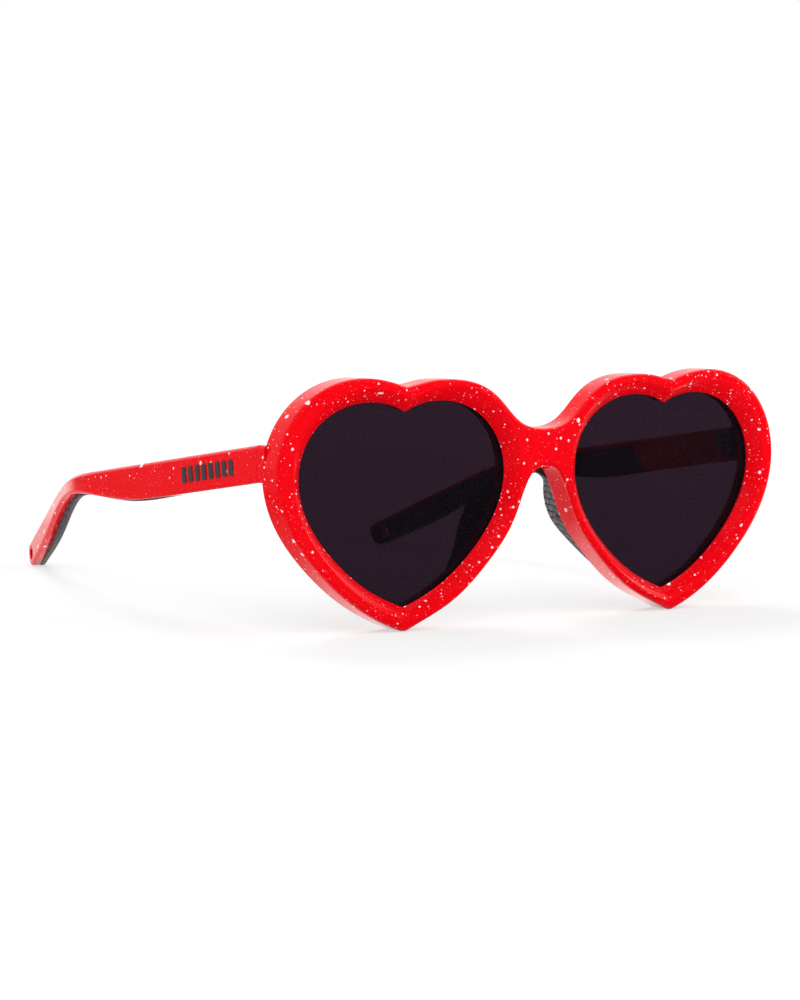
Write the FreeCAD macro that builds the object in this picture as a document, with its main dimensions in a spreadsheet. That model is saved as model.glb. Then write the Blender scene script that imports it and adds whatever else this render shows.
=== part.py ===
"""Heart shaped sunglasses: a curved front with two heart rims, tinted lenses, a rubber
nose piece, and two folding temples with rubber grips on five-knuckle metal hinges.

Everything is drawn in the wearing frame: X towards the wearer's left, Y backwards from
the front face, Z up from the middle of the hearts, hinge axes along Z. One placement at
the end leans the whole object until it rests on its heart tips and temple tips.
"""
import FreeCAD, Part
import Sketcher
import math
import os
import re
from FreeCAD import Placement, Rotation, Vector

doc = FreeCAD.newDocument("HeartSunglasses")

# Driving dimensions in millimetres, angles in degrees
SIZES = {
    # Front: two hearts on a gentle curve, joined by the bridge
    "nose_gap": 10.8,
    "front_curve_radius": 870.0,
    "front_depth": 6.8,
    "rim_side_wall": 5.6,
    "rim_lobe_wall": 5.4,
    "rim_cleft_wall": 5.5,
    "rim_tip_wall": 5.2,
    "rim_shift": 0.9,
    "rim_cleft_round": 1.3,
    "rim_tip_round": 2.6,
    "front_edge_round": 1.1,
    "rear_edge_round": 0.7,
    "bridge_top": 13.5,
    "bridge_under": 4.8,
    # Lens openings, the crowned bevel that leads down to the lens, and the seat in the rim
    "lens_half_width": 26.9,
    "lens_lobe_rise": 20.4,
    "lens_cleft_rise": 18.0,
    "lens_tip_drop": 24.6,
    "lens_corner_round": 0.9,
    "bevel_width": 2.9,
    "bevel_lip": 0.2,
    "lens_recess": 2.9,
    "lens_thickness": 1.9,
    "lens_grip": 1.0,
    "lens_clearance": 0.05,
    "rear_lip_setback": 0.35,
    # Nose piece: a saddle behind the bridge and two flared pads
    "saddle_under": 3.5,
    "saddle_depth": 1.5,
    "pad_inset": 0.25,
    "pad_flare": 2.4,
    "pad_thickness": 2.4,
    "pad_reach": 7.3,
    "pad_drop": 18.0,
    "pad_gap": 0.04,
    "peg_radius": 0.7,
    "peg_length": 1.4,
    # Temples
    "temple_reach": 127.0,
    "temple_thickness": 4.0,
    "temple_height": 8.2,
    "temple_edge_round": 0.8,
    "temple_slope_deg": 8.8,
    "end_slope_deg": 26.2,
    "end_height": 5.8,
    "end_corner_round": 2.4,
    "drop_place": 84.6,
    "drop_radius": 76.0,
    "turn_place": 76.3,
    "turn_radius": 50.0,
    "turn_angle_deg": 18.6,
    "grip_thickness": 1.8,
    "grip_lip": 1.0,
    "grip_start": 32.0,
    "grip_slant": 7.0,
    "lanyard_radius": 1.7,
    "lanyard_inset": 3.2,
    # Ribs let into the outer face of each temple
    "rib_start": 9.2,
    "rib_pitch": 2.7,
    "rib_width": 1.5,
    "rib_height": 3.5,
    "rib_depth": 0.6,
    "rib_proud": 0.25,
    # Hinges
    "hinge_rise": 7.4,
    "end_piece_depth": 1.5,
    "butt_gap": 0.08,
    "knuckle_radius": 1.4,
    "knuckle_length": 1.3,
    "knuckle_gap": 0.05,
    "hinge_clearance": 0.25,
    "pivot_radius": 0.6,
    "pivot_fit": 0.03,
    "pivot_head_radius": 1.05,
    "pivot_head_height": 0.5,
    "leaf_thickness": 0.9,
    "front_leaf_width": 3.0,
    "temple_leaf_length": 8.0,
    "temple_leaf_margin": 0.2,
    "leaf_fit": 0.03,
    "leaf_screw_radius": 0.55,
    "leaf_screw_head_radius": 1.0,
    "leaf_screw_head_height": 0.45,
    "leaf_screw_length": 2.5,
    "leaf_screw_spacing": 4.2,
    "slot_half_width": 0.15,
    "slot_depth": 0.2,
    # How far cutting tools run past what they cut
    "overrun": 3.0,
}

# Counts
KNUCKLES = 5
RIBS = 8
LEAN_ROUNDS = 4
# How near two places count as touching, as a share of a size beside them
TOUCH_SHARE = 1e-4

# Half a heart from cleft to tip: share of the half width, and share of the lobe rise
# (above zero) or of the tip drop (below zero)
HEART_SHARES = (
    (0.235, 0.985),
    (0.500, 0.972),
    (0.760, 0.820),
    (0.940, 0.540),
    (1.000, 0.170),
    (0.905, -0.210),
    (0.692, -0.518),
    (0.385, -0.800),
)
# Section of the bevel: share of its width out from the opening, and share of its depth
CROWN_SHARES = (
    (1.50, -0.25),
    (1.00, 0.02),
    (0.66, 0.24),
    (0.33, 0.57),
    (-0.20, 1.25),
)
# How far the two halves of the bevel run past each other inside the opening
OVERLAP_SHARE = 0.25
# How many of those points the nasal side keeps above and below the bridge, and how much
# of the lobe's rise its upper points keep
NASAL_UPPER = 3
NASAL_LOWER = 3
NASAL_RISE_SHARE = 0.98
# Where the bridge's top curve leaves the lobe, and where its underside arch turns down
BRIDGE_KNEE_SHARES = (0.50, 0.20)
ARCH_SHARES = (0.76, 0.33)
# Lower edge of a temple: share of its reach, and share of its height
BELLY_SHARES = (
    (0.20, 1.000),
    (0.35, 0.990),
    (0.44, 0.915),
    (0.52, 0.720),
    (0.59, 0.560),
    (0.68, 0.480),
    (0.75, 0.535),
    (0.83, 0.690),
    (0.90, 0.770),
)
# Lower edge of a temple's rubber, which stands out below the shell: shares as above
RUBBER_SHARES = (
    (0.20, 1.000),
    (0.30, 1.010),
    (0.38, 1.020),
    (0.45, 0.935),
    (0.52, 0.755),
    (0.59, 0.605),
    (0.67, 0.590),
    (0.74, 0.710),
    (0.81, 0.860),
    (0.90, 0.850),
)
# Rear edge of the nose pads: share of the way down, and share of the pads' reach
PAD_SHARES = (
    (0.080, 0.300),
    (0.200, 0.700),
    (0.390, 0.990),
    (0.580, 0.965),
    (0.745, 0.720),
    (0.900, 0.450),
    (1.000, 0.280),
)
# Where the pads' pegs sit down the pad, as a share of its drop
PEG_SHARE = 0.5

# Outline of each rim: the lens opening and the wall round it
RIM_SIZES = {
    "rim_half_width": "=lens_half_width + rim_side_wall",
    "rim_lobe_rise": "=lens_lobe_rise + rim_lobe_wall",
    "rim_cleft_rise": "=lens_cleft_rise + rim_cleft_wall",
    "rim_tip_drop": "=lens_tip_drop + rim_tip_wall",
}

sheet = doc.addObject("Spreadsheet::Sheet", "Sizes")
for row, (alias, value) in enumerate({**SIZES, **RIM_SIZES}.items(), start=1):
    sheet.set("A%d" % row, alias)
    sheet.set("B%d" % row, str(value))
    sheet.setAlias("B%d" % row, alias)
doc.recompute()


def size(alias):
    """The value of one driving dimension, read back from the sheet."""
    return float(sheet.get(alias))


def bind(obj, **formulas):
    """Tie properties of an object to formulas over the sheet's aliases."""
    for prop, formula in formulas.items():
        obj.setExpression(prop, re.sub(r"([a-z]\w+)", r"Sizes.\1", formula))
    return obj


def add(kind, name, **settings):
    obj = doc.addObject(kind, name)
    for prop, value in settings.items():
        setattr(obj, prop, value)
    return obj


def shaped(name, shape):
    """A document object that holds an outline drawn in code from the sheet."""
    return add("Part::Feature", name, Shape=shape)


def extrude(name, base, along, **lengths):
    return bind(add("Part::Extrusion", name, Base=base, DirMode="Custom", Dir=along, Solid=True), **lengths)


def box(name, corner, **sides):
    block = bind(add("Part::Box", name), **sides)
    block.Placement.Base = corner
    return block


def cylinder(name, base, axis, **sides):
    rod = bind(add("Part::Cylinder", name), **sides)
    rod.Placement = Placement(base, Rotation(Vector(0, 0, 1), axis))
    return rod


def cut(name, base, tools):
    tool = tools[0] if len(tools) == 1 else add("Part::MultiFuse", name + "_tools", Shapes=tools)
    return add("Part::Cut", name, Base=base, Tool=tool)


def fuse(name, shapes):
    return add("Part::MultiFuse", name, Shapes=shapes)


def common(name, shapes):
    return add("Part::MultiCommon", name, Shapes=shapes)


def rounded(name, base, radius, chosen):
    """Round the edges of a solid that a test on the edge chooses."""
    doc.recompute()
    edges = base.Shape.Edges
    picked = [(n + 1, radius, radius) for n, edge in enumerate(edges) if chosen(edge)]
    return add("Part::Fillet", name, Base=base, Edges=picked)


def mirrored(name, source):
    return add("Part::Mirroring", name, Source=source, Normal=Vector(1, 0, 0))


def spline(points, start=None, end=None):
    curve = Part.BSplineCurve()
    if start:
        curve.interpolate(Points=points, InitialTangent=start, FinalTangent=end)
    else:
        curve.interpolate(Points=points)
    return curve.toShape()


def polyline(points):
    return [Part.LineSegment(a, b).toShape() for a, b in zip(points, points[1:])]


def bent_line(start, corner, end, radius):
    """Two straight runs joined by a tangent arc."""
    run_in = (corner - start).normalize()
    run_out = (end - corner).normalize()
    half_turn = run_in.getAngle(run_out) / 2
    tangent = radius * math.tan(half_turn)
    leave = corner - run_in * tangent
    land = corner + run_out * tangent
    middle = corner + (run_out - run_in).normalize() * (radius / math.cos(half_turn) - radius)
    arc = Part.Arc(leave, middle, land).toShape()
    return [Part.LineSegment(start, leave).toShape(), arc, Part.LineSegment(land, end).toShape()]


def face(edges):
    return Part.Face(Part.Wire(Part.__sortEdges__(edges)))


BACK = Vector(0, 1, 0)
UP = Vector(0, 0, 1)
OUT = Vector(1, 0, 0)

# Places that several pieces share
OVERRUN = size("overrun")
rim_axis = size("nose_gap") / 2 + size("rim_half_width")
lens_axis = rim_axis - size("rim_shift")
temple_face = rim_axis + size("rim_half_width")
inner_face = temple_face - size("temple_thickness")
curve_radius = size("front_curve_radius")


def front_surface(across, depth):
    """How far back the curved front lies at a distance from its middle."""
    radius = curve_radius - depth
    return curve_radius - math.sqrt(radius ** 2 - across ** 2)


butt = front_surface(temple_face, size("front_depth")) + size("end_piece_depth")
pivot_across = inner_face - size("knuckle_radius") - size("hinge_clearance")
pivot = Vector(pivot_across, butt, size("hinge_rise"))
stack = KNUCKLES * size("knuckle_length")
temple_start = butt + size("butt_gap")


def heart_points(axis, side, half_width, lobe_rise, cleft_rise, tip_drop):
    """Half a heart's outline, from cleft to tip, on one side of its axis."""
    points = [Vector(axis, 0, cleft_rise)]
    for across, up in HEART_SHARES:
        points.append(Vector(axis + side * across * half_width, 0, up * (lobe_rise if up > 0 else tip_drop)))
    return points + [Vector(axis, 0, -tip_drop)]


def half_lens(axis, side, grow):
    """Half a lens outline, grown or shrunk all round."""
    sizes = [size("lens_" + part) + grow for part in ("half_width", "lobe_rise", "cleft_rise", "tip_drop")]
    return spline(heart_points(axis, side, *sizes))


def along_y(edge):
    ends = [vertex.Point for vertex in edge.Vertexes]
    return len(ends) == 2 and ends[0].sub(ends[1]).cross(BACK).Length < edge.Length * TOUCH_SHARE


def curved_slab(name, near, far):
    """The shell between two depths behind the curved front face."""
    height = "4*rim_tip_drop"
    outer = cylinder(name + "_outer", Vector(0, curve_radius, -2 * size("rim_tip_drop")), UP,
                     Radius="front_curve_radius - " + near, Height=height)
    inner = cylinder(name + "_inner", Vector(0, curve_radius, -2 * size("rim_tip_drop")), UP,
                     Radius="front_curve_radius - (" + far + ")", Height=height)
    return cut(name, outer, [inner])


def lens_prism(name, grow):
    """A lens outline drawn through the whole front, with its cleft and tip eased."""
    outline = shaped(name + "_outline", face([half_lens(lens_axis, side, grow) for side in (1, -1)]))
    prism = extrude(name + "_sharp", outline, BACK, LengthFwd="4*front_depth", LengthRev="overrun")
    return rounded(name, prism, size("lens_corner_round"), along_y)


def front_outline():
    """Both rims and the bridge as one closed line."""
    sizes = [size("rim_" + part) for part in ("half_width", "lobe_rise", "cleft_rise", "tip_drop")]
    outer = heart_points(rim_axis, 1, *sizes)
    nasal = heart_points(rim_axis, -1, *sizes)
    nasal_upper = [Vector(p.x, 0, p.z * NASAL_RISE_SHARE) for p in nasal[NASAL_UPPER:0:-1]]
    last_upper = nasal_upper[0]
    knee_across, knee_up = BRIDGE_KNEE_SHARES
    top = Vector(0, 0, size("bridge_top"))
    knee = Vector(knee_across * last_upper.x, 0, top.z + knee_up * (last_upper.z - top.z))
    half_gap = size("nose_gap") / 2
    arch_across, arch_down = ARCH_SHARES
    under = Vector(0, 0, size("bridge_under"))
    arch = Vector(arch_across * half_gap, 0, under.z - arch_down * half_gap)
    upper = [top, knee] + nasal_upper + nasal[:1]
    lower = nasal[:-1 - NASAL_LOWER - 1:-1] + [arch, under]
    lobe_end = upper[-1] - upper[-2]
    tip_start = lower[1] - lower[0]
    half = [spline(upper, OUT, lobe_end.normalize()), spline(outer),
            spline(lower, tip_start.normalize(), -OUT)]
    return face(half + [edge.mirror(Vector(0, 0, 0), OUT) for edge in half])


def front_blank():
    outline = shaped("front_outline", front_outline())
    prism = extrude("front_prism", outline, BACK, LengthFwd="4*front_depth", LengthRev="overrun")
    cleft = size("rim_cleft_rise")
    tip = -size("rim_tip_drop")

    def at_height(height):
        return lambda edge: along_y(edge) and abs(edge.CenterOfMass.z - height) < size("rim_tip_round") / 2

    eased = rounded("front_clefts", prism, size("rim_cleft_round"), at_height(cleft))
    eased = rounded("front_tips", eased, size("rim_tip_round"), at_height(tip))
    blank = common("front_plain", [eased, curved_slab("front_shell", "0*front_depth", "front_depth")])
    doc.recompute()

    def on_shell(radius):
        def test(edge):
            spans = [math.hypot(v.X, v.Y - curve_radius) for v in edge.Vertexes]
            return all(abs(span - radius) < size("rim_tip_round") * TOUCH_SHARE for span in spans)
        return test

    soft = rounded("front_soft", blank, size("front_edge_round"), on_shell(curve_radius))
    rear = curve_radius - size("front_depth")
    return rounded("front_blank", soft, size("rear_edge_round"), on_shell(rear))


def end_piece():
    """The lug behind a rim that the temple closes against."""
    root = front_surface(temple_face, size("front_depth")) - 2 * size("rear_edge_round")
    low = size("hinge_rise") - size("temple_height") / 2
    lug = box("end_piece_plain", Vector(inner_face, root, low), Length="temple_thickness",
              Width="end_piece_depth + 2*rear_edge_round", Height="temple_height")
    return rounded("end_piece", lug, size("temple_edge_round"), along_y)


def bevel(name, side):
    """Half of the crowned slope that leads from the front face down to the lens."""
    depth = size("lens_recess") - size("bevel_lip")
    rings = []
    for n, (out, back) in enumerate(CROWN_SHARES):
        line = half_lens(0, side, out * size("bevel_width"))
        cleft, tip = (vertex.Point for vertex in line.Vertexes)
        past = -OUT * side * size("lens_half_width") * OVERLAP_SHARE
        inside = [past + end * (1 - OVERLAP_SHARE) for end in (tip, cleft)]
        ring = Part.Wire([line] + polyline([tip] + inside + [cleft]))
        ring.translate(BACK * back * depth)
        rings.append(shaped("%s_ring_%d" % (name, n), ring))
    loft = add("Part::Loft", name + "_loft", Sections=rings, Solid=True)
    half = side * size("lens_half_width")
    middle = front_surface(lens_axis, 0)
    chord = Vector(half, front_surface(lens_axis + half, 0) - middle, 0) * side
    moved = add("Part::Compound", name, Links=[loft])
    moved.Placement = Placement(Vector(lens_axis, middle, 0), Rotation(OUT, chord))
    return moved


def lens_tools():
    """What is cut from one rim for its lens: the opening, the seat and the rear lip."""
    opening = lens_prism("opening", 0)
    seat = common("lens_seat", [
        lens_prism("seat", size("lens_grip") + size("lens_clearance")),
        curved_slab("seat_shell", "(lens_recess - lens_clearance)",
                    "lens_recess + lens_thickness + lens_clearance")])
    lip = common("rear_lip", [
        lens_prism("lip", size("rear_lip_setback")),
        curved_slab("lip_shell", "(lens_recess + lens_thickness)", "2*front_depth")])
    return [opening, seat, lip]


def lens():
    return common("lens_left", [
        lens_prism("lens", size("lens_grip")),
        curved_slab("lens_shell", "lens_recess", "lens_recess + lens_thickness")])


def front_knuckle(index):
    return index % 2 == 0


def knuckles(name, chosen):
    """Barrels round the pivot, one at each chosen place of the stack."""
    rods = []
    for index in filter(chosen, range(KNUCKLES)):
        low = pivot.z - stack / 2 + index * size("knuckle_length") + size("knuckle_gap") / 2
        rods.append(cylinder("%s_%d" % (name, index), Vector(pivot.x, pivot.y, low), UP,
                             Radius="knuckle_radius", Height="knuckle_length - knuckle_gap"))
    return rods


def webs(name, chosen, back, reach, depth):
    """Tongues that join the chosen barrels to their leaf."""
    tongues = []
    for index in filter(chosen, range(KNUCKLES)):
        low = pivot.z - stack / 2 + index * size("knuckle_length") + size("knuckle_gap") / 2
        tongues.append(box("%s_%d" % (name, index), Vector(pivot.x, back, low), Length=reach,
                           Width=depth, Height="knuckle_length - knuckle_gap"))
    return tongues


def pivot_bore(name):
    return cylinder(name, pivot - UP * stack, UP, Radius="pivot_radius + pivot_fit",
                    Height="%d*knuckle_length" % (2 * KNUCKLES))


def screw_hole(name, head, axis):
    """A countersunk hole for a leaf screw whose head lies flush at a point."""
    shank = cylinder(name + "_shank", head, axis, Radius="leaf_screw_radius + leaf_fit",
                     Height="leaf_screw_length + leaf_fit")
    sink = bind(add("Part::Cone", name + "_sink"), Radius1="leaf_screw_head_radius + leaf_fit",
                Radius2="leaf_screw_radius + leaf_fit", Height="leaf_screw_head_height")
    sink.Placement = Placement(head, Rotation(UP, axis))
    return fuse(name, [shank, sink])


def screw_holes(name, heads, axis):
    return [screw_hole("%s_%d" % (name, n), head, axis) for n, head in enumerate(heads)]


def front_leaf_screws():
    across = inner_face + size("front_leaf_width") / 2
    half = size("leaf_screw_spacing") / 2
    return [Vector(across, butt, pivot.z + side * half) for side in (1, -1)]


def temple_leaf_screws():
    middle = temple_start + size("temple_leaf_length") / 2
    half = size("leaf_screw_spacing") / 2
    return [Vector(inner_face, middle + side * half, pivot.z) for side in (1, -1)]


def front_leaf():
    plate = box("front_leaf_plate", Vector(inner_face, butt - size("leaf_thickness"), pivot.z - stack / 2),
                Length="front_leaf_width", Width="leaf_thickness", Height="%d*knuckle_length" % KNUCKLES)
    tongues = webs("front_web", front_knuckle, butt - size("leaf_thickness"),
                   "knuckle_radius + hinge_clearance", "leaf_thickness")
    solid = fuse("front_leaf_solid", [plate] + knuckles("front_barrel", front_knuckle) + tongues)
    holes = screw_holes("front_leaf_hole", front_leaf_screws(), -BACK)
    return cut("front_hinge_leaf_left", solid, [pivot_bore("front_leaf_bore")] + holes)


def temple_knuckle(index):
    return not front_knuckle(index)


def temple_leaf_low():
    return pivot.z - (KNUCKLES - 2) * size("knuckle_length") / 2 - size("temple_leaf_margin")


TEMPLE_LEAF_HEIGHT = "%d*knuckle_length + 2*temple_leaf_margin" % (KNUCKLES - 2)


def temple_leaf():
    plate = box("temple_leaf_plate", Vector(inner_face, temple_start, temple_leaf_low()),
                Length="leaf_thickness", Width="temple_leaf_length", Height=TEMPLE_LEAF_HEIGHT)
    tongues = webs("temple_web", temple_knuckle, temple_start,
                   "knuckle_radius + hinge_clearance + leaf_thickness", "knuckle_radius - butt_gap")
    solid = fuse("temple_leaf_solid", [plate] + knuckles("temple_barrel", temple_knuckle) + tongues)
    holes = screw_holes("temple_leaf_hole", temple_leaf_screws(), OUT)
    return cut("temple_hinge_leaf_left", solid, [pivot_bore("temple_leaf_bore")] + holes)


def turned(name, corners):
    """A slotted screw, head up at its own origin, turned from (radius, depth) corners."""
    body = doc.addObject("PartDesign::Body", name)
    planes = {plane.Role: plane for plane in body.Origin.OriginFeatures}
    sketch = body.newObject("Sketcher::SketchObject", name + "_profile")
    sketch.AttachmentSupport = [(planes["XZ_Plane"], "")]
    sketch.MapMode = "FlatFace"
    draw(sketch, [(radius, depth, 1, -1) for radius, depth in corners])
    turn = body.newObject("PartDesign::Revolution", name + "_turn")
    turn.Profile = sketch
    turn.ReferenceAxis = (sketch, ["V_Axis"])
    turn.Angle = 360
    slot = body.newObject("Sketcher::SketchObject", name + "_slot_profile")
    slot.AttachmentSupport = [(planes["XY_Plane"], "")]
    slot.MapMode = "FlatFace"
    half_length = corners[1][0] + " + slot_half_width"
    draw(slot, [(half_length, "slot_half_width", x, y) for x, y in ((-1, -1), (1, -1), (1, 1), (-1, 1))])
    doc.recompute()
    groove = body.newObject("PartDesign::Pocket", name + "_slot")
    groove.Profile = slot
    bind(groove, Length="slot_depth")
    doc.recompute()
    return body


def evaluate(formula):
    """The value of a sum of aliases, such as a shoulder's depth."""
    return sum(size(term) for term in formula.split(" + ")) if formula else 0


def draw(sketch, corners):
    """A closed outline whose corners lie at bound distances from the sketch's two axes."""
    points = [(x * evaluate(across), y * evaluate(up)) for across, up, x, y in corners]
    for a, b in zip(points, points[1:] + points[:1]):
        sketch.addGeometry(Part.LineSegment(Vector(*a, 0), Vector(*b, 0)))
    for n in range(len(points)):
        sketch.addConstraint(Sketcher.Constraint("Coincident", n, 2, (n + 1) % len(points), 1))
    for n, ((across, up, _, _), point) in enumerate(zip(corners, points)):
        place(sketch, n, "DistanceX", -2, across, point[0])
        place(sketch, n, "DistanceY", -1, up, point[1])


def place(sketch, line, kind, axis, formula, value):
    """Hold the start of a sketch line at a bound distance from an axis."""
    if not formula:
        sketch.addConstraint(Sketcher.Constraint("PointOnObject", line, 1, axis))
        return
    index = sketch.addConstraint(Sketcher.Constraint(kind, -1, 1, line, 1, value))
    name = "%s_%d" % (kind, line)
    sketch.renameConstraint(index, name)
    sign = "-" if value < 0 else ""
    bind(sketch, **{"Constraints." + name: "%s(%s)" % (sign, formula)})


LEAF_SCREW = (
    ("", ""),
    ("leaf_screw_head_radius", ""),
    ("leaf_screw_radius", "leaf_screw_head_height"),
    ("leaf_screw_radius", "leaf_screw_length"),
    ("", "leaf_screw_length"),
)
PIVOT_LENGTH = "pivot_head_height" + " + knuckle_length" * KNUCKLES
PIVOT_SCREW = (
    ("", ""),
    ("pivot_head_radius", ""),
    ("pivot_head_radius", "pivot_head_height"),
    ("pivot_radius", "pivot_head_height"),
    ("pivot_radius", PIVOT_LENGTH),
    ("", PIVOT_LENGTH),
)


def leaf_screws(name, heads, drive):
    """The screws of one leaf, driven in along a direction, as one group."""
    screws = []
    for n, head in enumerate(heads):
        screw = turned("%s_%d" % (name, n), LEAF_SCREW)
        screw.Placement = Placement(head, Rotation(-UP, drive))
        screws.append(screw)
    return add("Part::Compound", name, Links=screws)


def pivot_screw():
    screw = turned("hinge_screw_left", PIVOT_SCREW)
    top = stack / 2 - size("knuckle_gap") / 2 + size("pivot_head_height")
    screw.Placement = Placement(pivot + UP * top, Rotation())
    return screw


def strip(inset):
    """A temple's plan line, set in from its outer face: straight, then turned inwards."""
    turn = math.radians(size("turn_angle_deg"))
    across = temple_face - inset
    corner = Vector(across, butt + size("turn_place") - inset * math.tan(turn / 2), 0)
    far = corner + Vector(-math.sin(turn), math.cos(turn), 0) * size("temple_reach")
    return bent_line(Vector(across, temple_start, 0), corner, far, size("turn_radius") - inset)


def strip_prism(name, near, far):
    """The standing wall between two such lines."""
    outer = strip(near)
    inner = strip(far)
    ends = [(edges[0].Vertexes[0].Point, edges[-1].Vertexes[-1].Point) for edges in (outer, inner)]
    closing = [Part.LineSegment(a, b).toShape() for a, b in zip(*ends)]
    outline = shaped(name + "_outline", face(outer + inner + closing))
    outline.Placement.Base.z = -2 * size("temple_reach")
    return extrude(name, outline, UP, LengthFwd="4*temple_reach")


def top_line(lower, begin, finish):
    """A temple's top edge seen from the side, lowered, between two distances behind the hinge."""
    shank = math.tan(math.radians(size("temple_slope_deg")))
    end = math.tan(math.radians(size("end_slope_deg")))
    level = size("hinge_rise") + size("temple_height") / 2 - lower
    drop = size("drop_place")
    start = Vector(0, butt + begin, level - begin * shank)
    corner = Vector(0, butt + drop, level - drop * shank)
    tip = Vector(0, butt + finish, corner.z - (finish - drop) * end)
    return bent_line(start, corner, tip, size("drop_radius"))


def temple_top():
    return top_line(0, size("butt_gap"), size("temple_reach"))


def height_at(edges, back):
    """Height of the top edge at a distance behind the hinge."""
    plumb = Part.LineSegment(Vector(0, butt + back, -size("temple_reach")),
                             Vector(0, butt + back, size("temple_reach"))).toShape()
    meetings = [edge.distToShape(plumb) for edge in edges]
    return max(pairs[0][0].z for gap, pairs, _ in meetings if gap < OVERRUN * TOUCH_SHARE)


def end_direction():
    slope = math.radians(size("end_slope_deg"))
    return Vector(0, math.cos(slope), -math.sin(slope))


def end_down():
    slope = math.radians(size("end_slope_deg"))
    return Vector(0, -math.sin(slope), -math.cos(slope))


def side_prism(name, shares):
    """A temple's side outline over one lower edge, drawn across the whole temple."""
    top = temple_top()
    start = top[0].Vertexes[0].Point
    tip = top[-1].Vertexes[-1].Point
    heel = tip + end_down() * size("end_height")
    reach = size("temple_reach")
    belly = [start - UP * size("temple_height")]
    for along, tall in shares:
        level = height_at(top, along * reach) - tall * size("temple_height")
        belly.append(Vector(0, butt + along * reach, level))
    belly.append(heel)
    first = (belly[1] - belly[0]).normalize()
    under = spline(belly, first, end_direction())
    edges = top + polyline([tip, heel]) + [under] + polyline([belly[0], start])
    outline = shaped(name + "_outline", face(edges))
    prism = extrude(name + "_sharp", outline, OUT, LengthFwd="nose_gap + 4*rim_half_width")
    corners = (tip, heel)

    def at_end(edge):
        return any((edge.CenterOfMass - Vector(edge.CenterOfMass.x, 0, 0)).distanceToPoint(corner)
                   < size("end_corner_round") * TOUCH_SHARE for corner in corners)

    return rounded(name, prism, size("end_corner_round"), at_end)


def temple_blank(name, shares):
    wall = strip_prism(name + "_wall", 0, size("temple_thickness"))
    plain = common(name + "_plain", [wall, side_prism(name + "_side", shares)])
    doc.recompute()

    def off_the_butt(edge):
        return edge.BoundBox.YMax > temple_start + size("butt_gap") and not across_wall(edge)

    def across_wall(edge):
        ends = [vertex.Point for vertex in edge.Vertexes]
        return len(ends) == 2 and abs(ends[0].z - ends[1].z) < size("butt_gap") * TOUCH_SHARE

    return rounded(name, plain, size("temple_edge_round"), off_the_butt)


def grip_zone():
    """The space that the rubber takes on the inner side, below a lip along the top."""
    wall = strip_prism("grip_wall", size("temple_thickness") - size("grip_thickness"),
                       size("temple_thickness") + OVERRUN)
    begin = size("grip_start")
    top = top_line(size("grip_lip"), begin + size("grip_slant"), size("temple_reach") + OVERRUN)
    slant_top = top[0].Vertexes[0].Point
    after = top[-1].Vertexes[-1].Point
    slant_low = Vector(0, butt + begin, slant_top.z - size("temple_height"))
    below = after.z - size("temple_height") - size("end_height")
    rest = polyline([after, Vector(0, after.y, below), Vector(0, slant_low.y, below), slant_low, slant_top])
    outline = shaped("grip_side", face(top + rest))
    prism = extrude("grip_side_prism", outline, OUT, LengthFwd="nose_gap + 4*rim_half_width")
    return common("grip_zone", [wall, prism])


def lanyard_place():
    """Where the lanyard hole meets the middle of the temple's end, and its direction."""
    turn = math.radians(size("turn_angle_deg"))
    tip = temple_top()[-1].Vertexes[-1].Point
    spot = tip - end_direction() * size("lanyard_inset") + end_down() * (size("end_height") / 2)
    outer = strip(0)[-1]
    plumb = Part.LineSegment(Vector(0, spot.y, 0), Vector(2 * temple_face, spot.y, 0)).toShape()
    across = outer.distToShape(plumb)[1][0][0].x
    return Vector(across, spot.y, spot.z), Vector(math.cos(turn), math.sin(turn), 0)


def ribs():
    """A row of plain raised ribs let into the outer face."""
    slope = size("temple_slope_deg")
    frame = Placement(Vector(temple_face, butt, size("hinge_rise")), Rotation(OUT, -slope))
    row = []
    for n in range(RIBS):
        rib = box("rib_plain_%d" % n, Vector(0, 0, 0), Length="rib_depth + rib_proud",
                  Width="rib_width", Height="rib_height")
        along = size("rib_start") + n * size("rib_pitch")
        corner = Vector(-size("rib_depth"), along, -size("rib_height") / 2)
        rib.Placement = frame.multiply(Placement(corner, Rotation()))
        soft = rounded("rib_%d" % n, rib, size("rib_width") / 4, is_across)
        row.append(soft)
    return add("Part::Compound", "temple_ribs_left", Links=row)


def is_across(edge):
    ends = [vertex.Point for vertex in edge.Vertexes]
    return len(ends) == 2 and ends[0].sub(ends[1]).cross(OUT).Length < edge.Length * TOUCH_SHARE


def nose_points(shift, rise):
    """One side of the nose opening, from the middle of the saddle down past the pad."""
    sizes = [size("rim_" + part) for part in ("half_width", "lobe_rise", "cleft_rise", "tip_drop")]
    nasal = heart_points(rim_axis, -1, *sizes)
    half_gap = size("nose_gap") / 2
    under = size("saddle_under") + rise
    arch_across, arch_down = ARCH_SHARES
    points = [Vector(0, 0, under), Vector(arch_across * half_gap + shift, 0, under - arch_down * half_gap)]
    return points + [point + OUT * shift for point in nasal[-1 - NASAL_LOWER:-1]]


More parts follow.
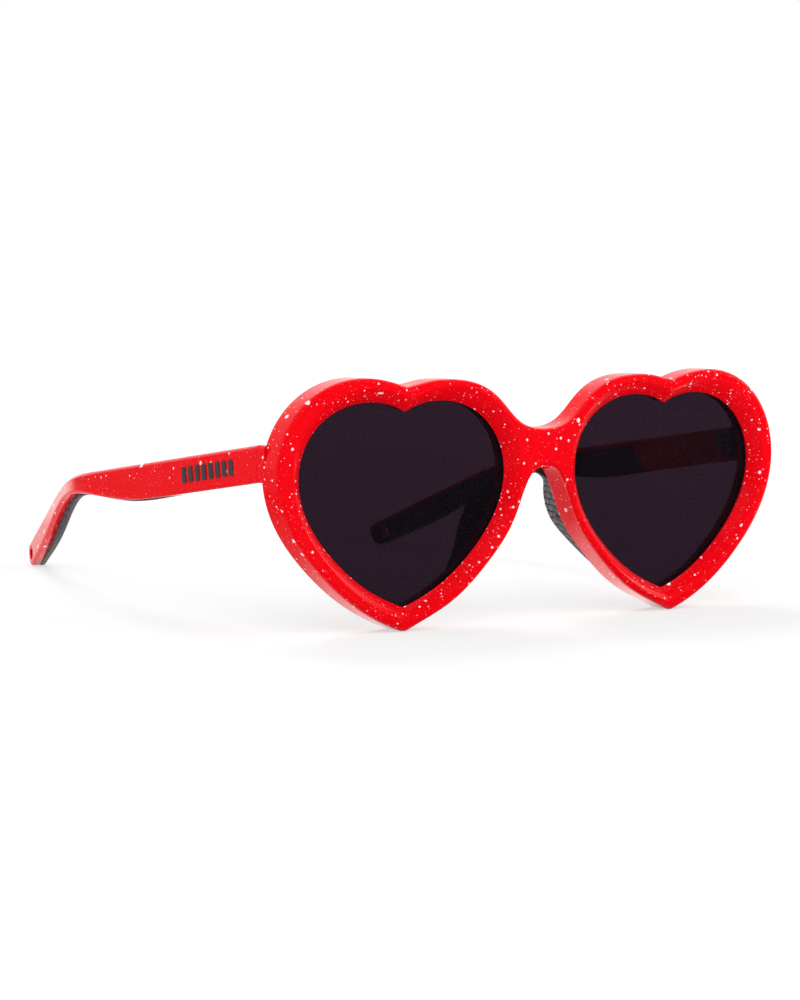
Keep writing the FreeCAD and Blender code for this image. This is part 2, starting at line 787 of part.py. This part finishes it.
def nose_piece():
    flare = size("pad_flare")
    inset = size("pad_inset")
    thick = size("pad_thickness")
    front = size("front_depth")
    rear = front + size("pad_reach")
    sections = []
    for name, back, shift in (("nose_front", front - OVERRUN, inset), ("nose_rear", rear, inset + flare)):
        lines = []
        for extra, rise in ((0, 0), (thick, thick)):
            half = nose_points(shift + extra, rise)
            other = [Vector(-p.x, 0, p.z) for p in half[:0:-1]]
            lines.append(other + half)
        edges = [spline(lines[0]), Part.LineSegment(lines[0][-1], lines[1][-1]).toShape(),
                 spline(lines[1][::-1]), Part.LineSegment(lines[1][0], lines[0][0]).toShape()]
        ring = Part.Wire(edges)
        ring.translate(BACK * back)
        sections.append(shaped(name, ring))
    band = add("Part::Loft", "nose_band", Sections=sections, Solid=True, Ruled=True)
    top = size("saddle_under")
    span = top + size("pad_drop")
    saddle = front + size("saddle_depth")
    edge_points = [Vector(0, saddle, top)]
    for down, out in PAD_SHARES:
        edge_points.append(Vector(0, front + out * size("pad_reach"), top - down * span))
    high = top + 2 * thick
    last = edge_points[-1]
    outline = [spline(edge_points)] + polyline(
        [last, Vector(0, 0, last.z), Vector(0, 0, high), Vector(0, saddle, high), edge_points[0]])
    side = extrude("nose_side_prism", shaped("nose_side", face(outline)), OUT,
                   LengthFwd="nose_gap + rim_half_width", LengthRev="nose_gap + rim_half_width")
    behind = cylinder("nose_behind", Vector(0, curve_radius, -2 * size("rim_tip_drop")), UP,
                      Radius="front_curve_radius - front_depth - pad_gap", Height="4*rim_tip_drop")
    pads = common("nose_pads", [band, side, behind])
    spots = peg_places()
    pegs = [cylinder("peg_%d" % n, spot, BACK, Radius="peg_radius", Height="peg_length + pad_thickness")
            for n, spot in enumerate(spots)]
    return fuse("nose_piece", [pads] + pegs)


def peg_places():
    """Where each peg of the nose piece ends inside its rim."""
    side = spline(nose_points(size("pad_inset") + size("pad_thickness") / 2, size("pad_thickness") / 2))
    level = size("saddle_under") - PEG_SHARE * (size("saddle_under") + size("pad_drop"))
    plumb = Part.LineSegment(Vector(0, 0, level), Vector(lens_axis, 0, level)).toShape()
    across = side.distToShape(plumb)[1][0][0].x
    back = front_surface(across, size("front_depth")) - size("peg_length")
    return [Vector(sign * across, back, level) for sign in (1, -1)]


def both_sides(name, tools):
    """Some tools and their mirror images."""
    return tools + [mirrored("%s_mirror_%d" % (name, n), tool) for n, tool in enumerate(tools)]


def front_frame(one_side_tools):
    lug = end_piece()
    whole = fuse("front_whole", [front_blank(), lug, mirrored("end_piece_right", lug)])
    pegs = [cylinder("peg_hole_%d" % n, spot - BACK * size("pad_gap"), BACK,
                     Radius="peg_radius + pad_gap", Height="peg_length + overrun")
            for n, spot in enumerate(peg_places())]
    opened = cut("front_open", whole, both_sides("front_tool", one_side_tools) + pegs)
    slopes = [bevel("bevel_outer", 1), bevel("bevel_nasal", -1)]
    return cut("front_frame", opened, both_sides("bevel", slopes))


def front_leaf_pocket():
    fit = size("leaf_fit")
    corner = Vector(inner_face - OVERRUN, butt - size("leaf_thickness"), pivot.z - stack / 2 - fit)
    return box("front_leaf_pocket", corner, Length="overrun + front_leaf_width + leaf_fit",
               Width="leaf_thickness + overrun", Height="%d*knuckle_length + 2*leaf_fit" % KNUCKLES)


def temple_leaf_pocket():
    fit = size("leaf_fit")
    corner = Vector(inner_face - OVERRUN, temple_start - OVERRUN, temple_leaf_low() - fit)
    return box("temple_leaf_pocket", corner, Length="overrun + leaf_thickness",
               Width="overrun + temple_leaf_length + leaf_fit", Height=TEMPLE_LEAF_HEIGHT + " + 2*leaf_fit")


def build():
    """Every sub-part under its node's name, left ones drawn and right ones mirrored."""
    front_holes = screw_holes("front_hole", front_leaf_screws(), -BACK)
    nodes = {"front_frame": front_frame(lens_tools() + [front_leaf_pocket()] + front_holes)}
    nodes["nose_piece"] = nose_piece()
    blank = temple_blank("temple_blank", BELLY_SHARES)
    rubber = temple_blank("rubber_blank", RUBBER_SHARES)
    zone = grip_zone()
    spot, outward = lanyard_place()
    bore = cylinder("lanyard_bore", spot - outward * 2 * size("temple_thickness"), outward,
                    Radius="lanyard_radius", Height="4*temple_thickness")
    rib_row = ribs()
    temple_holes = screw_holes("temple_hole", temple_leaf_screws(), OUT)
    left = {
        "lens": lens(),
        "temple": cut("temple_left", blank, [zone, bore, rib_row, temple_leaf_pocket()] + temple_holes),
        "temple_grip": cut("temple_grip_left", common("grip_plain", [rubber, zone]), [bore]),
        "temple_ribs": rib_row,
        "front_hinge_leaf": front_leaf(),
        "temple_hinge_leaf": temple_leaf(),
        "front_hinge_screws": leaf_screws("front_hinge_screws_left", front_leaf_screws(), -BACK),
        "temple_hinge_screws": leaf_screws("temple_hinge_screws_left", temple_leaf_screws(), OUT),
        "hinge_screw": pivot_screw(),
    }
    doc.recompute()
    for name, piece in left.items():
        nodes[name + "_left"] = piece
        nodes[name + "_right"] = mirrored(name + "_right", piece)
    doc.recompute()
    return nodes


def check(nodes):
    """Stop before anything is written if an object failed or a shape is not sound."""
    failed = [obj.Name for obj in doc.Objects if {"Invalid", "Error"} & set(obj.State)]
    unsound = [name for name, obj in nodes.items() if obj.Shape.isNull() or not obj.Shape.isValid()]
    if failed or unsound:
        raise RuntimeError("failed objects %s, unsound shapes %s" % (failed, unsound))


def corners(shapes):
    """Points all over some shapes, close enough to measure how they rest."""
    return [p for shape in shapes for p in shape.tessellate(size("butt_gap"))[0]]


def rest_placement(nodes):
    """Lean the object until heart tips and temple tips touch the ground, centred over it."""
    front = corners([nodes["front_frame"].Shape])
    temples = corners([nodes["temple_left"].Shape, nodes["temple_grip_left"].Shape])
    lean = Rotation()
    for _ in range(LEAN_ROUNDS):
        low_front = min((lean.multVec(p) for p in front), key=lambda p: p.z)
        low_temple = min((lean.multVec(p) for p in temples), key=lambda p: p.z)
        tilt = math.atan2(low_temple.z - low_front.z, low_temple.y - low_front.y)
        lean = Rotation(OUT, -math.degrees(tilt)).multiply(lean)
    points = [lean.multVec(p) for p in corners(obj.Shape for obj in nodes.values())]
    low = Vector(*(min(getattr(p, axis) for p in points) for axis in "xyz"))
    high = Vector(*(max(getattr(p, axis) for p in points) for axis in "xyz"))
    middle = (low + high) / 2
    return Placement(-Vector(middle.x, middle.y, low.z), lean)


nodes = build()
check(nodes)
rest = rest_placement(nodes)
os.makedirs("parts", exist_ok=True)
for name, obj in nodes.items():
    obj.Label = name
    obj.Placement = rest.multiply(obj.Placement)
    obj.Shape.exportStep("parts/%s.step" % name)
spot, outward = lanyard_place()
print("lean", rest.Rotation.toEulerAngles("XYZ"), "moved", rest.Base)
print("hinge pivot", rest.multVec(pivot), "axis", rest.Rotation.multVec(UP))
print("lanyard", rest.multVec(spot), "outward", rest.Rotation.multVec(outward))
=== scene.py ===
import math

import bmesh
import bpy
from mathutils import Matrix, Vector


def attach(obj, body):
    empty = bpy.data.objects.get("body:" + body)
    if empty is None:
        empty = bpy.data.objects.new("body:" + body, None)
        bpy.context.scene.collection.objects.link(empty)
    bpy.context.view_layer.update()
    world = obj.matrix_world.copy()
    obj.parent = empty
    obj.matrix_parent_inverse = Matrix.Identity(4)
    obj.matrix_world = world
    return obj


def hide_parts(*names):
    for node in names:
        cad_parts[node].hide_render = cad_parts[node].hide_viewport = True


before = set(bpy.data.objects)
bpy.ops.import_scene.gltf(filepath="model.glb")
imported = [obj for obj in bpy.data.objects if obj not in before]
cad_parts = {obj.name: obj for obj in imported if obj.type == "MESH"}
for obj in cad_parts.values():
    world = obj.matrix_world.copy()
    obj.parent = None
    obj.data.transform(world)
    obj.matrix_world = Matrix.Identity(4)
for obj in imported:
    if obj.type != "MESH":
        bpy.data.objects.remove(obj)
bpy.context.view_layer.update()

MM = 0.001
SIDES = ("left", "right")


# Node trees: sockets that work in sums, and one method for every other node
class Wire:
    """An output socket. Sums, products and comparisons on it add Math nodes to its tree."""

    def __init__(self, board, socket):
        self.board = board
        self.socket = socket

    def work(self, operation, *values):
        return self.board.add("ShaderNodeMath", {"operation": operation}, dict(enumerate(values)))

    def __add__(self, other):
        return self.work("ADD", self, other)

    def __sub__(self, other):
        return self.work("SUBTRACT", self, other)

    def __rsub__(self, other):
        return self.work("SUBTRACT", other, self)

    def __mul__(self, other):
        return self.work("MULTIPLY", self, other)

    def __truediv__(self, other):
        return self.work("DIVIDE", self, other)

    def __rtruediv__(self, other):
        return self.work("DIVIDE", other, self)

    def __lt__(self, other):
        return self.work("LESS_THAN", self, other)

    __radd__ = __add__
    __rmul__ = __mul__

    def clamped(self):
        return self.work("MINIMUM", self.work("MAXIMUM", self, 0.0), 1.0)

    def rising(self, start, over):
        """From 0 up to a start to 1 once past it by a distance."""
        return ((self - start) / over).clamped()

    def falling(self, start, over):
        """From 0 down to a start to 1 once below it by a distance."""
        return ((start - self) / over).clamped()

    def larger(self, other):
        return self.work("MAXIMUM", self, other)

    def size(self):
        return self.work("ABSOLUTE", self)

    def whole(self):
        return self.work("FLOOR", self)

    def rest(self):
        return self.work("FRACT", self)

    def wave(self):
        return self.work("SINE", self)


class Board:
    """A node tree that is being filled."""

    def __init__(self, tree):
        self.tree = tree
        tree.nodes.clear()

    def add(self, kind, settings=None, sockets=None, output=0):
        node = self.tree.nodes.new(kind)
        for name, value in (settings or {}).items():
            setattr(node, name, value)
        for key, value in (sockets or {}).items():
            if isinstance(value, Wire):
                self.tree.links.new(value.socket, node.inputs[key])
            else:
                node.inputs[key].default_value = value
        return Wire(self, node.outputs[output]) if len(node.outputs) else node

    def more(self, wire, output):
        """Another output of the node that a wire comes from."""
        return Wire(self, wire.socket.node.outputs[output])

    def place(self):
        return self.add("ShaderNodeTexCoord", output="Object")

    def stretched(self, vector, scale, turn=(0, 0, 0)):
        return self.add("ShaderNodeMapping", {"vector_type": "POINT"},
                        {"Vector": vector, "Scale": scale, "Rotation": turn})

    def noise(self, vector, scale, detail=2.0, rough=0.5, output="Fac"):
        return self.add("ShaderNodeTexNoise", {"noise_dimensions": "3D"},
                        {"Vector": vector, "Scale": scale, "Detail": detail, "Roughness": rough}, output)

    def nudged(self, vector, scale, amount):
        """Coordinates pushed about by noise, so that round cells come out uneven."""
        push = self.noise(vector, scale, output="Color")
        centred = self.add("ShaderNodeVectorMath", {"operation": "SUBTRACT"}, {0: push, 1: (0.5, 0.5, 0.5)})
        scaled = self.add("ShaderNodeVectorMath", {"operation": "SCALE"}, {0: centred, "Scale": amount})
        return self.add("ShaderNodeVectorMath", {"operation": "ADD"}, {0: vector, 1: scaled})

    def mixed(self, share, low, high):
        """One colour blended into another."""
        return self.add("ShaderNodeMix", {"data_type": "RGBA"}, {0: share, 6: low, 7: high}, 2)

    def bump(self, height, depth, strength=1.0):
        return self.add("ShaderNodeBump", {}, {"Height": height, "Distance": depth, "Strength": strength})

    def surface(self, **sockets):
        named = {key.replace("_", " "): value for key, value in sockets.items()}
        return self.add("ShaderNodeBsdfPrincipled", {}, named)

    def finish(self, shader, output="ShaderNodeOutputMaterial"):
        self.add(output, {}, {"Surface": shader})


def material(name):
    made = bpy.data.materials.new(name)
    made.use_nodes = True
    return made, Board(made.node_tree)


# Finishes
FRONT_RED = (0.68, 0.0010, 0.0050, 1)
DEEP_RED = (0.62, 0.0008, 0.0042, 1)
FLECK_WHITE = (0.86, 0.62, 0.67, 1)
FLECK_PINK = (0.90, 0.36, 0.42, 1)
FLECK_ROSE = (0.88, 0.12, 0.16, 1)
# Fleck layers, largest last: cell size, share of cells that hold a fleck, radius as a share of the cell,
# unevenness, strength and colour
FLECKS = (
    (0.62 * MM, 0.70, 0.27, 0.04 * MM, 0.50, FLECK_ROSE),
    (0.95 * MM, 0.65, 0.24, 0.08 * MM, 0.75, FLECK_PINK),
    (1.70 * MM, 0.60, 0.21, 0.20 * MM, 0.85, FLECK_WHITE),
    (3.40 * MM, 0.60, 0.20, 0.45 * MM, 0.95, FLECK_WHITE),
)
# Drawn-out flecks: cell size, share, radius and unevenness as above, in coordinates that are stretched and turned
STREAKS = (2.6 * MM, 0.16, 0.12, 0.10 * MM)
STREAK_STRETCH = (0.34, 1.0, 1.0)
STREAK_TURN = (0.4, 0.9, 0.6)
STREAK_STRENGTH = 0.9
FLECK_SMALLEST = 0.25
FLECK_EDGE = 0.22


def flecks(board, place, cell, share, radius, uneven):
    """Round flecks in some of the cells, each of its own size."""
    moved = board.nudged(place, 0.9 / (cell * radius), uneven)
    distance = board.add("ShaderNodeTexVoronoi", {"voronoi_dimensions": "3D", "feature": "F1"},
                         {"Vector": moved, "Scale": 1 / cell, "Randomness": 1.0}, "Distance")
    chance = board.add("ShaderNodeSeparateColor", {}, {0: board.more(distance, "Color")}, "Red")
    breadth = board.more(chance, "Green") * (radius * (1 - FLECK_SMALLEST)) + radius * FLECK_SMALLEST
    return ((breadth - distance) / (radius * FLECK_EDGE)).clamped() * (chance < share)


def speckled_red():
    made, board = material("speckled_red_gloss")
    place = board.place()
    cloud = board.noise(place, 55.0, 3.0)
    colour = board.mixed(cloud, DEEP_RED, FRONT_RED)
    for cell, share, radius, uneven, strength, tone in FLECKS:
        colour = board.mixed(flecks(board, place, cell, share, radius, uneven) * strength, colour, tone)
    streaks = flecks(board, board.stretched(place, STREAK_STRETCH, STREAK_TURN), *STREAKS)
    colour = board.mixed(streaks * STREAK_STRENGTH, colour, FLECK_WHITE)
    smears = board.noise(board.stretched(place, (1.0, 1.0, 2.6)), 130.0, 4.0, 0.6)
    peel = board.noise(place, 900.0, 2.0)
    board.finish(board.surface(
        Base_Color=colour, Roughness=smears * 0.08 + 0.06, IOR=1.38, Normal=board.bump(peel, 0.006 * MM, 0.5)))
    return made


LENS_TINT = (0.0172, 0.0084, 0.0148, 1)
LENS_HAZE = (0.70, 0.58, 0.84, 1)


def tinted_lens():
    made, board = material("tinted_lens")
    place = board.place()
    wipe = board.noise(board.stretched(place, (1.0, 1.0, 3.0)), 90.0, 3.0)
    clear = board.surface(Base_Color=LENS_TINT, Transmission_Weight=1.0, IOR=1.18, Roughness=wipe * 0.02)
    dust = board.add("ShaderNodeBsdfDiffuse", {}, {"Color": LENS_HAZE})
    board.finish(board.add("ShaderNodeMixShader", {}, {0: wipe * 0.003 + 0.0025, 1: clear, 2: dust}))
    return made


RUBBER_BLACK = (0.016, 0.015, 0.017, 1)
RUBBER_WORN = (0.034, 0.031, 0.034, 1)
RUBBER_TOP = (0.105, 0.096, 0.100, 1)
# Painted shade: the colour that the bottoms of the tread grooves are blended towards
GROOVE_PAINTED_SHADE = (0.006, 0.006, 0.007, 1)
TREAD_MARK = "tread"


def soft_rubber(name, grain):
    """Black rubber, paler on the raised cells of its tread, with painted shade that darkens it down in the
    grooves.
    """
    made, board = material(name)
    place = board.place()
    tread = board.add("ShaderNodeAttribute", {"attribute_name": TREAD_MARK}, {}, "Vector")
    marks = board.add("ShaderNodeSeparateXYZ", {}, {0: tread}, "X")
    raised = board.more(marks, "Y")
    worn = board.noise(place, 420.0, 4.0, 0.65)
    pores = board.noise(place, 1.0 / grain, 2.0)
    plain = board.mixed(worn, RUBBER_BLACK, RUBBER_WORN)
    tops = board.mixed(raised * (worn * 0.6 + 0.55).clamped(), plain, RUBBER_TOP)
    # Painted shade: the grooves are blended towards near black, most at their bottoms
    board.finish(board.surface(
        Base_Color=board.mixed(marks, tops, GROOVE_PAINTED_SHADE), Roughness=worn * 0.18 + 0.46,
        Sheen_Weight=0.10, Sheen_Roughness=0.4, Normal=board.bump(pores, 0.02 * MM, 0.6)))
    return made


RIB_DARK = (0.020, 0.018, 0.020, 1)
RIB_LIGHT = (0.045, 0.041, 0.044, 1)


def rib_plastic():
    made, board = material("rib_satin_plastic")
    place = board.place()
    mottle = board.noise(place, 700.0, 3.0)
    board.finish(board.surface(
        Base_Color=board.mixed(mottle, RIB_DARK, RIB_LIGHT), Roughness=mottle * 0.15 + 0.30,
        Normal=board.bump(mottle, 0.02 * MM, 0.4)))
    return made


def hinge_metal(name, tone, rough):
    made, board = material(name)
    place = board.place()
    brushed = board.noise(board.stretched(place, (0.15, 1.0, 1.0)), 2600.0, 3.0, 0.6)
    tarnish = board.noise(place, 260.0, 3.0)
    light = tuple(tone) + (1,)
    dark = tuple(part * 0.72 for part in tone) + (1,)
    board.finish(board.surface(
        Base_Color=board.mixed(tarnish, dark, light), Metallic=1.0, Roughness=brushed * 0.20 + rough,
        Normal=board.bump(brushed, 0.006 * MM, 0.5)))
    return made


RED = speckled_red()
LENS = tinted_lens()
NOSE_RUBBER = soft_rubber("nose_rubber", 0.30 * MM)
GRIP_RUBBER = soft_rubber("grip_rubber", 0.22 * MM)
RIB = rib_plastic()
LEAF_METAL = hinge_metal("hinge_black_nickel", (0.34, 0.32, 0.32), 0.34)
SCREW_METAL = hinge_metal("screw_dark_steel", (0.38, 0.37, 0.37), 0.24)

# Which finish each kind of sub-part takes where its own mesh stays
KEPT = {
    "lens": LENS, "temple": RED, "temple_ribs": RIB,
    "front_hinge_leaf": LEAF_METAL, "temple_hinge_leaf": LEAF_METAL,
    "front_hinge_screws": SCREW_METAL, "temple_hinge_screws": SCREW_METAL, "hinge_screw": SCREW_METAL,
}


def dress(node, finish):
    node.data.materials.clear()
    node.data.materials.append(finish)


dress(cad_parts["front_frame"], RED)
for stem, finish in KEPT.items():
    for side in SIDES:
        dress(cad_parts["%s_%s" % (stem, side)], finish)


# Rubber pieces: the moulded form in fine even mesh, with a brick tread pressed into its broad faces
TREAD_LENGTHS = ("Cell Length", "Cell Width", "Groove Width", "Groove Depth", "Wave")
TREAD_DIRECTIONS = ("Along", "Across")
# How far a face looks sideways before it takes tread, and the share of a groove's width that is slope
BROAD_FROM = 0.40
BROAD_OVER = 0.25
GROOVE_SLOPE = 0.3
MERGE_WITHIN = 0.0005 * MM
NOSE_GRID = 0.14 * MM
GRIP_GRID = 0.20 * MM


def tread_tree(name, finish):
    tree = bpy.data.node_groups.new(name, "GeometryNodeTree")
    tree.interface.new_socket("Geometry", in_out="INPUT", socket_type="NodeSocketGeometry")
    for labels, kind in ((TREAD_LENGTHS, "NodeSocketFloat"), (TREAD_DIRECTIONS, "NodeSocketVector")):
        for label in labels:
            tree.interface.new_socket(label, in_out="INPUT", socket_type=kind)
    tree.interface.new_socket("Geometry", in_out="OUTPUT", socket_type="NodeSocketGeometry")
    board = Board(tree)
    form = board.add("NodeGroupInput", output="Geometry")
    length, width, groove, depth, wave, along, across = (
        board.more(form, label) for label in TREAD_LENGTHS + TREAD_DIRECTIONS)
    place = board.add("GeometryNodeInputPosition")
    normal = board.add("GeometryNodeInputNormal", output="Normal")

    def measured(direction):
        return board.add("ShaderNodeVectorMath", {"operation": "DOT_PRODUCT"}, {0: place, 1: direction}, "Value")

    def grooves(count, step):
        """How far into a groove each point lies, from 0 on a cell to 1 at the bottom."""
        return ((count.rest() - 0.5).size() * step).rising((step - groove) * 0.5, groove * GROOVE_SLOPE)

    run = measured(along)
    rows = (measured(across) + (run * (math.pi / length)).wave() * wave) / width
    cells = run / length + rows.whole() * 0.5
    facing = board.add("ShaderNodeSeparateXYZ", {}, {0: normal}, "X").size().rising(BROAD_FROM, BROAD_OVER)
    sunk = grooves(rows, width).larger(grooves(cells, length)) * facing
    push = board.add("ShaderNodeVectorMath", {"operation": "SCALE"}, {0: normal, "Scale": sunk * depth * -1.0})
    # Stored for the rubber's colour: the groove share, which it darkens as painted shade, and the share of raised
    # cells, which it makes paler
    marks = board.add("ShaderNodeCombineXYZ", {}, {"X": sunk, "Y": facing - sunk})
    marked = board.add("GeometryNodeStoreNamedAttribute", {"data_type": "FLOAT_VECTOR", "domain": "POINT"},
                       {"Geometry": form, "Name": TREAD_MARK, "Value": marks})
    pressed = board.add("GeometryNodeSetPosition", {}, {"Geometry": marked, "Offset": push})
    smooth = board.add("GeometryNodeSetShadeSmooth", {}, {"Geometry": pressed, "Shade Smooth": True})
    whole = board.add("GeometryNodeRealizeInstances", {}, {"Geometry": smooth})
    painted = board.add("GeometryNodeSetMaterial", {}, {"Geometry": whole, "Material": finish})
    board.add("NodeGroupOutput", {}, {"Geometry": painted})
    return tree


def joined_copy(name, node):
    """A copy of a node's mesh with its loose triangles merged into one skin."""
    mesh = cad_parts[node].data.copy()
    work = bmesh.new()
    work.from_mesh(mesh)
    bmesh.ops.remove_doubles(work, verts=work.verts, dist=MERGE_WITHIN)
    bmesh.ops.dissolve_degenerate(work, edges=work.edges, dist=MERGE_WITHIN)
    work.to_mesh(mesh)
    work.free()
    mesh.name = name
    piece = bpy.data.objects.new(name, mesh)
    bpy.context.scene.collection.objects.link(piece)
    return piece


def moulded(name, node, body, finish, grid, sizes):
    """A rubber piece: its node's form on a fine grid, with the tread pressed in."""
    piece = joined_copy(name, node)
    even = piece.modifiers.new("even_mesh", "REMESH")
    even.mode = "VOXEL"
    even.voxel_size = grid
    tree = tread_tree(name + "_tread", finish)
    tread = piece.modifiers.new("tread", "NODES")
    tread.node_group = tree
    for item in tree.interface.items_tree:
        if item.in_out == "INPUT" and item.name in sizes:
            tread[item.identifier] = sizes[item.name]
    graph = bpy.context.evaluated_depsgraph_get()
    plain = bpy.data.meshes.new_from_object(piece.evaluated_get(graph))
    piece.modifiers.clear()
    piece.data = plain
    dress(piece, finish)
    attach(piece, body)
    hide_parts(node)


def tread_sizes(length, width, groove, depth, wave, slant):
    along = (0, math.cos(slant), math.sin(slant))
    across = (0, -math.sin(slant), math.cos(slant))
    return dict(zip(TREAD_LENGTHS + TREAD_DIRECTIONS, (length, width, groove, depth, wave, along, across)))


NOSE_TREAD = tread_sizes(2.90 * MM, 1.55 * MM, 0.42 * MM, 0.30 * MM, 0.24 * MM, math.radians(10))
GRIP_TREAD = tread_sizes(2.60 * MM, 1.20 * MM, 0.42 * MM, 0.18 * MM, 0.16 * MM, math.radians(42))
moulded("nose_rubber_piece", "nose_piece", "front", NOSE_RUBBER, NOSE_GRID, NOSE_TREAD)
for side in SIDES:
    moulded("grip_rubber_" + side, "temple_grip_" + side, "temple_" + side, GRIP_RUBBER, GRIP_GRID,
            GRIP_TREAD)


# Camera, solved from the photograph's own perspective
CAMERA_PLACE = Vector((-463.193, -643.203, 105.003)) * MM
CAMERA_AIM = Vector((-25.555, -47.797, 26.309)) * MM
CAMERA_ROLL = math.radians(1.3571)
IMAGE_LONG_SIDE = 1000
FOCAL_PIXELS = 3327.06
SENSOR = 36.0

lens_data = bpy.data.cameras.new("photo_camera")
lens_data.sensor_fit = "VERTICAL"
lens_data.sensor_height = SENSOR
lens_data.lens = FOCAL_PIXELS * SENSOR / IMAGE_LONG_SIDE
lens_data.clip_start = 10 * MM
camera = bpy.data.objects.new("photo_camera", lens_data)
bpy.context.scene.collection.objects.link(camera)
aim = (CAMERA_AIM - CAMERA_PLACE).to_track_quat("-Z", "Y").to_matrix()
turn = aim @ Matrix.Rotation(CAMERA_ROLL, 3, "Z")
camera.matrix_world = Matrix.Translation(CAMERA_PLACE) @ turn.to_4x4()
bpy.context.scene.camera = camera


# Floor, light and surroundings
FLOOR_GREY = (0.86, 0.86, 0.86, 1)
FLOOR_HALF_SIDE = 3.0
GLOW_SHARE = 0.68
GLOW_NEAR = 0.86
GLOW_FAR = 1.20
# What gloss shows of the floor: a level all over, what its bright patches add, and a painted shadow that dims it
# under the temples
MIRROR_LEVEL = 0.20
MIRROR_PATCH = 1.4
MIRROR_PAINTED_SHADOW = 0.7
MIRROR_ASIDE = 0.9
# What gloss shows of the room, and the even light that it gives to matt surfaces
ROOM_LEVEL = 0.08
ROOM_ABOVE = 0.3
ROOM_RIGHT = 0.85
ROOM_SQUARE = 1.8
ROOM_ASIDE = 0.9
ROOM_LIGHT = 0.66
# Soft boxes: place, what they aim at, side and watts
SOFT_BOXES = {
    "key_soft_box": ((-0.55, -0.75, 0.95), (0, 0, 0.02), 0.9, 8.0),
    "fill_soft_box": ((0.75, -0.65, 0.55), (0, -0.04, 0.02), 0.8, 7.0),
    "side_soft_box": ((-0.90, 0.20, 0.55), (-0.05, 0, 0.03), 0.7, 2.8),
    "back_soft_box": ((0.20, 0.75, 1.05), (0, -0.04, 0.0), 0.5, 9.0),
}


def floor():
    work = bmesh.new()
    bmesh.ops.create_grid(work, x_segments=1, y_segments=1, size=FLOOR_HALF_SIDE)
    mesh = bpy.data.meshes.new("studio_floor")
    work.to_mesh(mesh)
    work.free()
    piece = bpy.data.objects.new("studio_floor", mesh)
    bpy.context.scene.collection.objects.link(piece)
    made, board = material("studio_floor")
    rays = board.add("ShaderNodeLightPath", output="Is Camera Ray")
    seen = rays.larger(board.more(rays, "Is Transmission Ray"))
    glossy = board.more(rays, "Is Glossy Ray") * (1 - seen)
    place = board.place()
    toward = board.add("ShaderNodeSeparateXYZ", {}, {0: place}, "Y")
    across = board.more(toward, "X")
    # Patches of the floor, each by where it begins and how far it takes to come in, in metres
    front = toward.falling(-0.060, 0.010)
    middle = across.rising(-0.11, 0.10)
    behind = across.rising(-0.12, 0.05) * toward.rising(0.10, 0.08)
    # Painted shadow: a band of the floor just behind the front, which gloss sees dimmed
    painted_shadow_band = toward.rising(-0.050, 0.012) * toward.falling(0.05, 0.03)
    aside = across.rising(0.10, 0.08) * toward.rising(-0.14, 0.05)
    rear = (1 - painted_shadow_band * MIRROR_PAINTED_SHADOW) * (MIRROR_LEVEL + middle.larger(behind) * MIRROR_PATCH)
    mirrored = (1 - front) * rear + front * aside * MIRROR_ASIDE
    out = board.add("ShaderNodeVectorMath", {"operation": "LENGTH"}, {0: place}, "Value")
    far = out.rising(0.20, 0.25)
    level = glossy * mirrored + (1 - glossy) * (GLOW_NEAR + far * (GLOW_FAR - GLOW_NEAR))
    matt = board.add("ShaderNodeBsdfDiffuse", {}, {"Color": FLOOR_GREY})
    glow = board.add("ShaderNodeEmission", {}, {"Color": level, "Strength": 1.0})
    share = seen * (GLOW_SHARE + far * (1 - GLOW_SHARE)) + glossy
    board.finish(board.add("ShaderNodeMixShader", {}, {0: share, 1: matt, 2: glow}))
    dress(piece, made)


def soft_box(name, place, target, side, watts):
    light = bpy.data.lights.new(name, "AREA")
    light.shape = "SQUARE"
    light.size = side
    light.energy = watts
    lamp = bpy.data.objects.new(name, light)
    lamp.visible_glossy = False
    bpy.context.scene.collection.objects.link(lamp)
    spot = Vector(place)
    aimed = (Vector(target) - spot).to_track_quat("-Z", "Y").to_matrix()
    lamp.matrix_world = Matrix.Translation(spot) @ aimed.to_4x4()


def surroundings():
    """White all round where it is seen directly or through a lens, with the dim room in front of the glasses."""
    world = bpy.data.worlds.new("studio")
    bpy.context.scene.world = world
    world.use_nodes = True
    board = Board(world.node_tree)
    rays = board.add("ShaderNodeLightPath", output="Is Camera Ray")
    direct = rays.larger(board.more(rays, "Is Transmission Ray"))
    glossy = board.more(rays, "Is Glossy Ray")
    heading = board.add("ShaderNodeSeparateXYZ", {}, {0: board.add("ShaderNodeTexCoord", output="Generated")}, "Y")
    sideways = board.more(heading, "X")
    behind = heading.rising(-0.20, 0.5)
    above = board.more(heading, "Z").rising(0.30, 0.4)
    square = heading.rising(0.80, 0.16)
    right = sideways.rising(-0.20, 0.5)
    aside = sideways.rising(0.80, 0.12) * (1 - behind)
    rear = behind * (ROOM_LEVEL + above * ROOM_ABOVE + right * ROOM_RIGHT)
    mirrored = rear + square * ROOM_SQUARE + aside * ROOM_ASIDE
    level = direct + (1 - direct) * (glossy * mirrored + (1 - glossy) * ROOM_LIGHT)
    board.finish(board.add("ShaderNodeBackground", {}, {"Color": level, "Strength": 1.0}), "ShaderNodeOutputWorld")


floor()
surroundings()
for name, settings in SOFT_BOXES.items():
    soft_box(name, *settings)
bpy.context.scene.view_settings.view_transform = "Standard"
